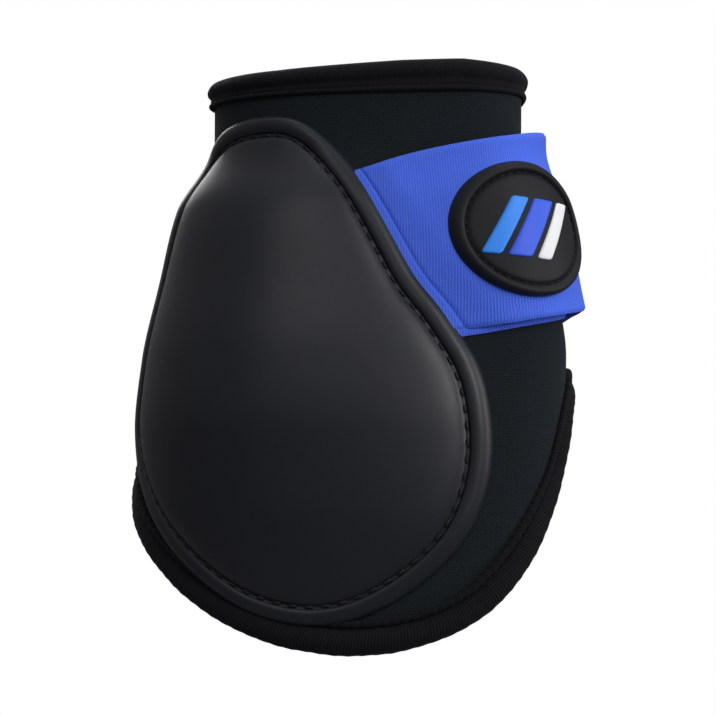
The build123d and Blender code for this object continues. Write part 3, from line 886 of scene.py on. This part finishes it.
def hem_roll_swell(distance):
    return 0.03 * wander(distance * 3, 0.0, 0.9) + 0.02 * np.sin(distance * 1.7)


def hem_bead_swell(distance):
    return 0.10 * np.sin(distance * 2 * pi / 2.7)


both_halves(hem_tube, "hem_binding", "binding", "bottom_roll", past_end=2.9,
            loop=loop_profile(HEM_PROFILE, 40), swell=hem_roll_swell, step=1.2, sharp=50.0)
both_halves(hem_tube, "hem_bead", "binding", "bottom_bead", past_end=2.6,
            loop=round_loop(BEAD_R * 1.3, 14, up=5.1, out=0.55), swell=hem_bead_swell,
            step=0.65, sharp=60.0)

# ---------------------------------------------------------------------------------------------
# Front edge bindings: tape folded over the sheets' front edges
# ---------------------------------------------------------------------------------------------
# distance towards the sheet, off
FRONT_PROFILE = [
    (5.7, -1.5), (5.6, -3.6), (4.6, -4.5), (2.2, -4.75), (0.0, -4.8), (-1.9, -4.2),
    (-2.9, -2.9), (-3.1, -1.5), (-2.9, -0.1), (-1.9, 0.75), (0.0, 0.95), (2.2, 0.9),
    (4.6, 0.75), (5.6, 0.15)]
FRONT_PAST_END = 3.6
FRONT_RADIUS = 50.0    # body radius that turns distances into degrees


def front_binding(name, station, inward, node, body):
    """inward is +1 when the sheet lies at smaller stations."""
    z = np.linspace(69.5, TOP_Z - 3.6, 76)[:, None]
    profile, across = loop_profile(FRONT_PROFILE, 30)
    stations = station - inward * np.degrees(profile[None, :, 0] / FRONT_RADIUS)
    points = on_body(stations, z, profile[None, :, 1] + 0.08 * np.sin(z * 0.9))
    ob = tube_object(name, points, cloth(z, across[None, :]), sharp=50.0)
    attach(dress(ob, "binding", node), body)


front_binding("front_binding_near_edge", NEAR_END + FRONT_PAST_END, 1, "front_binding_near",
              "near_wing")
front_binding("front_binding_far_edge", FAR_END - FRONT_PAST_END, -1, "front_binding_far",
              "far_wing")

# ---------------------------------------------------------------------------------------------
# Strike shell: rounded rail round the edge, stitch groove, dome
# ---------------------------------------------------------------------------------------------
SHELL_TURN = -25.0
SHELL_CENTRE = np.array([-3.0, 72.0])
# u, z seen square on from SHELL_TURN
SHELL_OUTLINE = [
    (-13.2, 143.9), (-0.9, 142.1), (7.4, 135.9), (16.8, 125.5), (22.0, 117.4), (27.6, 107.6),
    (33.0, 98.8), (38.2, 92.3), (42.2, 86.3), (46.0, 80.0), (48.9, 72.7), (50.6, 63.7),
    (51.0, 54.6), (50.0, 46.0), (47.7, 37.8), (43.7, 30.0), (37.6, 23.0), (31.6, 17.9),
    (24.1, 13.2), (16.5, 10.1), (9.0, 8.7), (-1.3, 9.5), (-12.1, 13.0), (-24.2, 20.2),
    (-34.7, 28.5), (-44.2, 38.5), (-50.8, 48.5), (-54.2, 60.0), (-53.8, 72.0), (-52.4, 84.0),
    (-50.0, 96.0), (-47.2, 108.0), (-44.3, 119.0), (-41.2, 127.0), (-36.8, 134.3),
    (-31.8, 139.2), (-23.0, 142.7)]
# depth inside the outline, off
SHELL_RAIL = [
    (0, 0.70), (0.35, 1.45), (0.8, 1.92), (1.4, 2.28), (2.2, 2.46), (3.1, 2.46), (3.9, 2.26),
    (4.35, 2.0), (4.65, 1.60), (4.95, 1.36), (5.2, 1.30), (5.45, 1.38), (5.8, 1.72),
    (6.2, 1.98), (6.9, 2.18), (8.0, 2.34), (10.0, 2.44), (60, 2.44)]
SHELL_INSETS = [
    0, .12, .3, .55, .85, 1.2, 1.6, 2.1, 2.7, 3.2, 3.7, 4.0, 4.25, 4.45, 4.65, 4.85, 5.05, 5.2,
    5.35, 5.55, 5.8, 6.05, 6.35, 6.75, 7.3, 8.0, 9.0]
DOME_RISE = 4.6
SHELL_GROOVE = (5.2, 1.30)    # depth and off of the stitch groove's floor
SHELL_THREAD_R = 0.42

shell_place = seen_from(SHELL_TURN)
shell_outline = closed_spline(SHELL_OUTLINE, 440)

# a membrane blown up inside the outline gives the dome its even crown
grid_u, grid_z = np.arange(-58.0, 56.0), np.arange(4.0, 149.0)
mesh_u, mesh_z = np.meshgrid(grid_u, grid_z, indexing="ij")
grid_depth = depth_inside(np.stack([mesh_u.ravel(), mesh_z.ravel()], -1), shell_outline[::4])
in_dome = grid_depth.reshape(mesh_u.shape) > 5.0
membrane = np.zeros(mesh_u.shape)
for _ in range(2600):
    average = 0.25 * (np.roll(membrane, 1, 0) + np.roll(membrane, -1, 0)
                      + np.roll(membrane, 1, 1) + np.roll(membrane, -1, 1)) + 0.25
    membrane = np.where(in_dome, average, 0.0)
membrane /= membrane.max()


def crown(points):
    """The membrane's height at (u, z) points, read between grid points."""
    from_u, from_z = points[:, 0] - grid_u[0], points[:, 1] - grid_z[0]
    i = np.clip(from_u.astype(int), 0, len(grid_u) - 2)
    j = np.clip(from_z.astype(int), 0, len(grid_z) - 2)
    a, b = from_u - i, from_z - j
    return (membrane[i, j] * (1 - a) * (1 - b) + membrane[i + 1, j] * a * (1 - b)
            + membrane[i, j + 1] * (1 - a) * b + membrane[i + 1, j + 1] * a * b)


def shell_top(depth, points):
    return table(SHELL_RAIL, depth) + DOME_RISE * np.clip(crown(points), 0, 1) ** 0.85


def shell_bottom(depth, _):
    return GAP + 2.0 * smooth((depth - 10.0) / 7.0)


def strike_shell():
    ob = plate("strike_shell", shell_outline, SHELL_INSETS, 30, shell_top, shell_bottom,
               shell_place, sharp=45.0, centre=SHELL_CENTRE)
    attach(dress(ob, "shell", "outer_shell"), "boot_back")


def impact_pad():
    """Foam behind the dome, with a quarter-round edge."""
    edge, thickness = 1.4, 1.4
    outline = inset(closed_spline(inset(shell_outline, 9.0)[::12], 200), 8.0)

    def top(depth, _):
        run_in = 1 - np.clip(depth / edge, 0, 1)
        return 0.35 + thickness * np.sqrt(np.clip(1 - run_in**2, 0, 1))

    ob = plate("impact_pad_foam", outline, [0, .25, .7, edge], 12, top, lambda depth, _: 0.22,
               shell_place, sharp=50.0, centre=SHELL_CENTRE)
    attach(dress(ob, "foam", "impact_pad"), "boot_back")


def shell_stitches():
    depth, floor_off = SHELL_GROOVE
    seam = inset(shell_outline, depth)
    points, facing = shell_place(seam[:, 0], seam[:, 1], floor_off + SHELL_THREAD_R)
    ob = stitches("shell_stitches", points, facing,
                  pitch=4.4, length=3.1, radius=SHELL_THREAD_R, dip=0.75)
    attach(dress(ob, "thread", "shell_stitching"), "boot_back")


strike_shell()
impact_pad()
shell_stitches()

# ---------------------------------------------------------------------------------------------
# Elastic strap: from under the shell's rim, across the front, to a tail on the far side
# ---------------------------------------------------------------------------------------------
STRAP = 1.5                                  # strap thickness
FRONT_START, TAIL_START, TAIL_END = 62.0, 132.0, 200.0    # stations where the runs meet or end
PEEL_AT, TIP_BEND_AT = 104.0, 171.0          # stations of the strap's bends, passed to blend_round, which only bakes the piece in place
DEG_PER_MM = 1.0 / 0.80
# station, z of the strap's upper edge
STRAP_TOP = [
    (-15, 126), (3, 129.5), (14, 132), (29, 135), (43, 137.5), (54, 139), (75, 140),
    (95, 139.8), (115, 138.6), (135, 136.5), (155, 133.6), (175, 130.8), (205, 127)]
# station, z of its lower edge
STRAP_BOTTOM = [
    (-15, 77), (10, 82), (27, 85.6), (36, 87.3), (46, 89.5), (58, 91.4), (75, 92.5),
    (95, 92.3), (115, 91.0), (135, 88.8), (155, 85.9), (175, 83.0), (205, 79.5)]
# station, off of its inner face
STRAP_OFF = [
    (-15, 1.35), (15, 1.35), (30, 2.1), (41, 3.4), (50, 4.7), (60, 5.2), (115, 5.2),
    (130, 5.2), (145, 4.3), (158, 3.1), (205, 3.1)]
# distances past the shell's edge, in millimetres, of the first stations
STRAP_LEAD = np.array([
    -3.2, -2.2, -1.4, -0.8, -0.3, 0.1, 0.5, 0.85, 1.15, 1.45, 1.75, 2.05, 2.4, 2.9, 3.5, 4.3,
    5.2, 6.3])


def strap_top(station):
    return table(STRAP_TOP, station)


def strap_low(station):
    return table(STRAP_BOTTOM, station)


def strap_inner(station, z):
    return table(STRAP_OFF, station) + 0.10 * wander(arc(station) * 2.2, z * 1.5, 0.7)


def strap_outer(station, z):
    return strap_inner(station, z) + STRAP


def rows_across(second, third, inside, count):
    """Shares of the width, with closer rows at both edges."""
    return np.concatenate([[0, second, third], np.linspace(inside, 1 - inside, count),
                           [1 - third, 1 - second, 1.0]])


def strap_piece(name, station, rows, inner, outer, low=strap_low, top=strap_top):
    """A band with rounded edges; station is (columns, rows), or (columns, 1)."""
    station = np.broadcast_to(station, (len(station), len(rows)))
    bottom, width = low(station), top(station) - low(station)
    z = bottom + width * rows[None, :]
    inner_off, outer_off = inner(station, z), outer(station, z)
    from_edge = width * np.minimum(rows, 1 - rows)[None, :]
    fullness = smooth(from_edge / 0.9) * 0.8 + 0.2
    middle = (inner_off + outer_off) / 2
    half = (outer_off - inner_off) / 2
    fab = cloth(arc(station), z - (bottom + top(station)) / 2)
    return layer_object(name, on_body(station, z, middle + half * fullness),
                        on_body(station, z, middle - half * fullness), fab, sharp=50.0)


def shell_clearance(low, top, off):
    """Distance outside the shell's outline, over the scan stations and the strap rows."""
    z = low(scan)[:, None] + (top(scan) - low(scan))[:, None] * strap_rows[None, :]
    p = on_body(scan[:, None], z, off)
    turn = radians(SHELL_TURN)
    u = p[..., 0] * cos(turn) + p[..., 1] * sin(turn)
    seen = np.stack([u.ravel(), z.ravel()], -1)
    return -depth_inside(seen, shell_outline[::4]).reshape(z.shape)


def blend_round(ob, station, half, z, off):
    start, end = [on_body(station + side * half, z, off) * MM for side in (-1, 1)]
    tuple(start)
    tuple(end)
    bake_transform(ob)


def bend_tip(ob):
    blend_round(ob, TIP_BEND_AT, 6.0, 109.0, 3.6)


strap_rows = rows_across(0.006, 0.016, 0.03, 44)
scan = np.linspace(-25, 50, 151)


def shell_edge_stations():
    """Where each row of the strap comes out from under the shell's rim."""
    clearance = shell_clearance(strap_low, strap_top, 1.5)
    edge = []
    for row in clearance.T:
        i = np.where(row < 0)[0].max()
        j = min(i + 1, len(scan) - 1)
        edge.append(scan[i] + (scan[j] - scan[i]) * (-row[i]) / max(row[j] - row[i], 1e-6))
    return np.array(edge)


def near_run():
    """The strap from under the shell's rim, tucked down and creased beside it."""
    edge = shell_edge_stations()
    first = edge[None, :] + (STRAP_LEAD * DEG_PER_MM)[:, None]
    share = np.linspace(0, 1, 46)[1:, None]
    rest = first[-1][None, :] + (FRONT_START - first[-1][None, :]) * share

    def past_edge(station):
        return (station - edge[None, :]) / DEG_PER_MM

    def inner(station, z):
        distance = past_edge(station)
        tuck = GAP + (strap_inner(station, z) - GAP) * smooth(distance / 9.0)
        return tuck - 0.42 * np.exp(-((distance - 1.75) / 0.33) ** 2)

    def outer(station, z):
        return inner(station, z) + (1.3 + 0.2 * smooth(past_edge(station) / 3.0))

    ob = strap_piece("strap_near_run", np.vstack([first, rest]), strap_rows, inner, outer)
    bend_near(dress(ob, "elastic", "strap_anchor", "strap_front"))


def front_run():
    columns = np.concatenate([np.linspace(FRONT_START, 94, 26)[:-1],
                              np.linspace(94, 114, 31)[:-1], np.linspace(114, TAIL_START, 16)])
    ob = strap_piece("strap_front_run", columns[:, None], strap_rows, strap_inner, strap_outer)
    dress(ob, "elastic", "strap_front", "strap_tail")
    blend_round(ob, PEEL_AT, 7.0, 116.0, 5.5)


def tail_run():
    """The last run, with its two end corners rounded off."""
    columns = np.linspace(TAIL_START, TAIL_END, 66)
    share = (columns - TAIL_START) / (TAIL_END - TAIL_START)
    corner = 1.9 * np.abs(2 * strap_rows - 1) ** 9
    station = columns[:, None] - share[:, None] ** 3 * corner[None, :]
    ob = strap_piece("strap_tail_run", station, strap_rows, strap_inner, strap_outer)
    bend_tip(dress(ob, "elastic", "strap_tail", "strap_tip"))


def hook_tape():
    """Hook tape inside the tail."""
    columns = np.linspace(138.6, TAIL_END - 2.2, 58)
    ob = strap_piece("hook_tape_strip", columns[:, None], rows_across(0.008, 0.02, 0.04, 30),
                     lambda station, z: strap_inner(station, z) - 1.5,
                     lambda station, z: strap_inner(station, z) - 0.02,
                     lambda station: strap_low(station) + 2,
                     lambda station: strap_top(station) - 2)
    bend_tip(dress(ob, "hook", "hook_tape", "hook_tape_tip"))


def rectangle(start, end, low, high):
    """Stations and heights round a rectangle."""
    stations = [np.linspace(start, end, 120), np.full(60, end),
                np.linspace(end, start, 120), np.full(60, start)]
    heights = [np.full(120, low), np.linspace(low, high, 60),
               np.full(120, high), np.linspace(high, low, 60)]
    return np.concatenate(stations), np.concatenate(heights)


TAPE_STITCH = {"pitch": 2.6, "length": 1.9, "radius": 0.24, "dip": 0.32}


def tail_stitches():
    """Thread that holds the hook tape, seen on the outside of the tail."""
    station, share = rectangle(140.5, 196.5, 0.075, 0.925)
    z = strap_low(station) + (strap_top(station) - strap_low(station)) * share
    points, facing = on_body_facing(station, z, strap_outer(station, z) + 0.06)
    ob = stitches("tail_stitches", points, facing, **TAPE_STITCH)
    bend_tip(dress(ob, "thread", material="blue_thread"))


def inner_layer():
    """A thinner elastic layer under the strap."""
    def low(station):
        return strap_low(station) - 1.8

    def top(station):
        return strap_top(station) - 2.0

    clearance = shell_clearance(low, top, 0.6)
    start = np.array([scan[np.where(row < -2.0)[0].max()] for row in clearance.T])
    share = np.linspace(0, 1, 62)[:, None]
    station = start[None, :] + (92.0 - start[None, :]) * share
    ob = strap_piece("strap_inner_layer", station, strap_rows, lambda station, z: 0.10,
                     lambda station, z: 1.15 + 0.08 * wander(arc(station), z, 3.0), low, top)
    bend_near(dress(ob, "elastic", "strap_underlay"))


def loop_panel():
    """Pile panel on the far side, under the tail, with rounded corners."""
    columns = np.linspace(131.2, 196.0, 56)
    rows = rows_across(0.008, 0.02, 0.04, 40)
    corner = 1.6 * np.abs(2 * rows - 1) ** 9
    side = 1 - 2 * (columns - columns[0]) / (columns[-1] - columns[0])
    station = columns[:, None] + side[:, None] * corner[None, :]
    ob = strap_piece("loop_panel_pile", station, rows, lambda station, z: 0.08,
                     lambda station, z: 1.3 + 0.06 * wander(arc(station) * 3, z * 3, 5.0),
                     lambda station: 80.5 + 0 * station, lambda station: 140.5 + 0 * station)
    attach(dress(ob, "loop", "loop_panel"), "far_wing")


def loop_panel_stitches():
    points, facing = on_body_facing(*rectangle(132.6, 194.6, 82.4, 138.6), 1.34)
    ob = stitches("loop_panel_stitches", points, facing, **TAPE_STITCH)
    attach(dress(ob, "thread"), "far_wing")


near_run()
front_run()
tail_run()
hook_tape()
tail_stitches()
inner_layer()
loop_panel()
loop_panel_stitches()

# ---------------------------------------------------------------------------------------------
# Badge: an oval moulding on the strap with three slanted bars
# ---------------------------------------------------------------------------------------------
BADGE_W, BADGE_H = 37.6, 36.0
BADGE_AT = np.array([12.3, 112.6])    # centre u, z seen square on from the badge's turn
BADGE_TILT = radians(-6.0)
# depth inside the outline, height above the strap
BADGE_RIM = [
    (0, 0.9), (0.25, 1.9), (0.6, 2.55), (1.1, 2.95), (1.7, 3.0), (2.2, 2.72), (2.6, 2.25),
    (2.85, 1.75), (3.1, 1.45), (3.35, 1.62), (3.7, 1.98), (4.3, 2.12), (40, 2.2)]
BADGE_INSETS = [
    0, .1, .25, .45, .7, 1.0, 1.35, 1.7, 2.0, 2.25, 2.45, 2.65, 2.85, 3.0, 3.1, 3.25, 3.45,
    3.75, 4.3, 5.2]
BADGE_GROOVE = (3.1, 1.45)            # depth and height of the stitch groove's floor
BAR_LEAN, BAR_HALF_H, BAR_CORNER = 3.5, 8, 0.9
BAR_EDGE = [(0, 2.3), (0.15, 2.55), (0.4, 2.68), (0.7, 2.72), (9, 2.74)]    # depth, height

badge_face = seen_from(30.0)


def badge_place(u, z, height):
    """Points at a height above the strap's outer face, found by repeated correction."""
    base = np.full(np.shape(u), 6.0)
    for _ in range(4):
        p, _facing = badge_face(u, z, base + height)
        base = table(STRAP_OFF, station_of(p[:, 0], p[:, 1])) + STRAP
    return badge_face(u, z, base + height)


def badge_uz(right, up):
    """Tilted badge coordinates to (u, z)."""
    cosine, sine = cos(BADGE_TILT), sin(BADGE_TILT)
    return np.stack([BADGE_AT[0] + right * cosine - up * sine,
                     BADGE_AT[1] + right * sine + up * cosine], -1)


def badge():
    turn = np.arange(192) / 192 * 2 * pi
    oval = badge_uz(BADGE_W / 2 * np.cos(turn), BADGE_H / 2 * np.sin(turn))
    ob = plate("badge_moulding", oval, BADGE_INSETS, 14,
               lambda depth, _: table(BADGE_RIM, depth), lambda depth, _: 0.05,
               badge_place, sharp=45.0, centre=BADGE_AT)
    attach(dress(ob, "badge_rubber", "badge_base", "badge_rim"), "near_wing")

    depth, floor_height = BADGE_GROOVE
    seam = inset(oval, depth)
    points, facing = badge_place(seam[:, 0], seam[:, 1], floor_height + 0.22)
    ob = stitches("badge_stitches", points, facing, pitch=2.4, length=1.6, radius=0.24, dip=0.4)
    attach(dress(ob, "thread"), "near_wing")


def bar(name, left, right, slot, node):
    """Slanted raised bar with soft corners."""
    corners = np.array([(left - BAR_LEAN, -BAR_HALF_H), (right - BAR_LEAN, -BAR_HALF_H),
                        (right + BAR_LEAN, BAR_HALF_H), (left + BAR_LEAN, BAR_HALF_H)], float)
    points = []
    for i in range(4):
        corner = corners[i]
        back, ahead = corners[i - 1] - corner, corners[(i + 1) % 4] - corner
        back, ahead = back / np.linalg.norm(back), ahead / np.linalg.norm(ahead)
        for t in np.linspace(0, 1, 9):
            points.append(corner + back * BAR_CORNER * (1 - t) ** 2
                          + ahead * BAR_CORNER * t ** 2)
    ring, _ = resample(np.array(points), 120)
    outline = badge_uz(ring[:, 0], ring[:, 1])
    ob = plate(name, outline, [0, .08, .2, .4, .7], 8, lambda depth, _: table(BAR_EDGE, depth),
               lambda depth, _: 1.95, badge_place, sharp=50.0, centre=outline.mean(0))
    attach(dress(ob, slot, node), "near_wing")


badge()
bar("badge_bar_light_blue", -9.0, -4.5, "badge_light", "badge_stripe_light")
bar("badge_bar_mid_blue", -3.0, 3.0, "badge_mid", "badge_stripe_mid")
bar("badge_bar_pale", 4.5, 8.5, "badge_white", "badge_bar_white")

# ---------------------------------------------------------------------------------------------
# Stage, in metres
# ---------------------------------------------------------------------------------------------
WHITE = (1, 1, 1, 1)
FLOOR_Z, FLOOR_RADIUS, FLOOR_SIDES = -0.045, 6, 96
FLOOR_GREY = 0.93                  # the floor's shade as the camera sees it
FLOOR_FADE = (0.10, 0.48)          # radii between which the floor turns plain white
LIGHT_TARGET = Vector((0, 0, 0.08))
# name, place, (width, height), watts
LIGHTS = [
    ("key", (0.80, -1.20, 0.62), (0.42, 0.85), 9.5),
    ("right", (1.40, -0.42, 0.40), (0.18, 1.1), 8.0),
    ("front", (-0.45, -1.5, 1.1), (0.8, 0.6), 3.2),
    ("top", (0.0, 0.1, 1.5), (1.0, 1.0), 6.0),
    ("rear", (-0.3, 1.4, 0.9), (1.0, 0.9), 10.0)]
CAMERA_PITCH = radians(-2.5)
CAMERA_DISTANCE, CAMERA_AIM_Z = 1.0, 0.080


def floor_material():
    """A grey floor that fades outwards to plain white, darker to rays off the camera."""
    material = bpy.data.materials.new("floor")
    tree = fresh_tree(material)
    output = add_node(tree, "ShaderNodeOutputMaterial")
    diffuse = add_node(tree, "ShaderNodeBsdfDiffuse",
                       {0: (FLOOR_GREY, FLOOR_GREY, FLOOR_GREY, 1)})
    glow = add_node(tree, "ShaderNodeEmission", {0: WHITE})
    seen = add_node(tree, "ShaderNodeLightPath").outputs["Is Camera Ray"]
    shade = add_node(tree, "ShaderNodeMapRange",
                     {"To Min": 0.22, "To Max": FLOOR_GREY, "Value": seen})
    strength = add_node(tree, "ShaderNodeMapRange",
                        {"To Min": 0.10, "To Max": 1.0, "Value": seen})
    tree.links.new(shade.outputs[0], diffuse.inputs[0])
    tree.links.new(strength.outputs[0], glow.inputs[1])
    geometry = add_node(tree, "ShaderNodeNewGeometry")
    flat = add_node(tree, "ShaderNodeVectorMath",
                    {0: geometry.outputs["Position"], 1: (1, 1, 0)}, operation="MULTIPLY")
    radius = add_node(tree, "ShaderNodeVectorMath", {0: flat.outputs[0]}, operation="LENGTH")
    fade = add_node(tree, "ShaderNodeMapRange", {
        "From Min": FLOOR_FADE[0], "From Max": FLOOR_FADE[1],
        "Value": radius.outputs["Value"]}, interpolation_type="SMOOTHSTEP")
    mix = add_node(tree, "ShaderNodeMixShader",
                   {0: fade.outputs[0], 1: diffuse.outputs[0], 2: glow.outputs[0]})
    tree.links.new(mix.outputs[0], output.inputs[0])
    return material


def add_floor():
    mesh = bpy.data.meshes.new("floor")
    turns = [2 * pi * i / FLOOR_SIDES for i in range(FLOOR_SIDES)]
    ring = [(FLOOR_RADIUS * cos(turn), FLOOR_RADIUS * sin(turn), FLOOR_Z) for turn in turns]
    mesh.from_pydata(ring, [], [tuple(range(FLOOR_SIDES))])
    floor = bpy.data.objects.new("floor", mesh)
    bpy.context.scene.collection.objects.link(floor)
    mesh.materials.append(floor_material())


def add_world():
    """Plain white to the camera; a soft light, stronger from above, to everything else."""
    world = bpy.data.worlds.new("studio")
    bpy.context.scene.world = world
    tree = fresh_tree(world)
    output = add_node(tree, "ShaderNodeOutputWorld")
    seen = add_node(tree, "ShaderNodeBackground", {0: WHITE, 1: 1.0})
    fill = add_node(tree, "ShaderNodeBackground", {0: WHITE, 1: 0.20})
    coordinate = add_node(tree, "ShaderNodeTexCoord")
    split = add_node(tree, "ShaderNodeSeparateXYZ", {0: coordinate.outputs["Generated"]})
    strength = add_node(tree, "ShaderNodeMapRange", {
        "From Min": -0.6, "From Max": 0.9, "To Min": 0.05, "To Max": 0.36,
        "Value": split.outputs[2]}, interpolation_type="SMOOTHSTEP")
    tree.links.new(strength.outputs[0], fill.inputs[1])
    rays = add_node(tree, "ShaderNodeLightPath")
    mix = add_node(tree, "ShaderNodeMixShader", {
        0: rays.outputs["Is Camera Ray"], 1: fill.outputs[0], 2: seen.outputs[0]})
    tree.links.new(mix.outputs[0], output.inputs[0])


def add_light(name, place, size, watts):
    light = bpy.data.lights.new(name, "AREA")
    light.shape = "RECTANGLE"
    light.size, light.size_y = size
    light.energy = watts
    ob = bpy.data.objects.new(name, light)
    bpy.context.scene.collection.objects.link(ob)
    ob.location = place
    ob.rotation_euler = (LIGHT_TARGET - Vector(place)).to_track_quat("-Z", "Y").to_euler()


def add_camera():
    """A long lens on the near side, level with the boot and looking slightly up."""
    camera = bpy.data.cameras.new("camera")
    camera.sensor_width = 36.0
    camera.lens = 183.519553
    camera.shift_x = -0.0139664804
    camera.shift_y = 0.00418994413
    camera.clip_start = 0.05
    camera.clip_end = 30.0
    ob = bpy.data.objects.new("camera", camera)
    bpy.context.scene.collection.objects.link(ob)
    ob.location = (0.0, -CAMERA_DISTANCE * cos(CAMERA_PITCH),
                   CAMERA_AIM_Z + CAMERA_DISTANCE * sin(CAMERA_PITCH))
    ob.rotation_euler = (pi / 2 - CAMERA_PITCH, 0.0, 0.0)
    bpy.context.scene.camera = ob


add_floor()
add_world()
for light_row in LIGHTS:
    add_light(*light_row)
add_camera()
bpy.context.scene.view_settings.view_transform = "Standard"
bpy.context.scene.view_settings.look = "None"
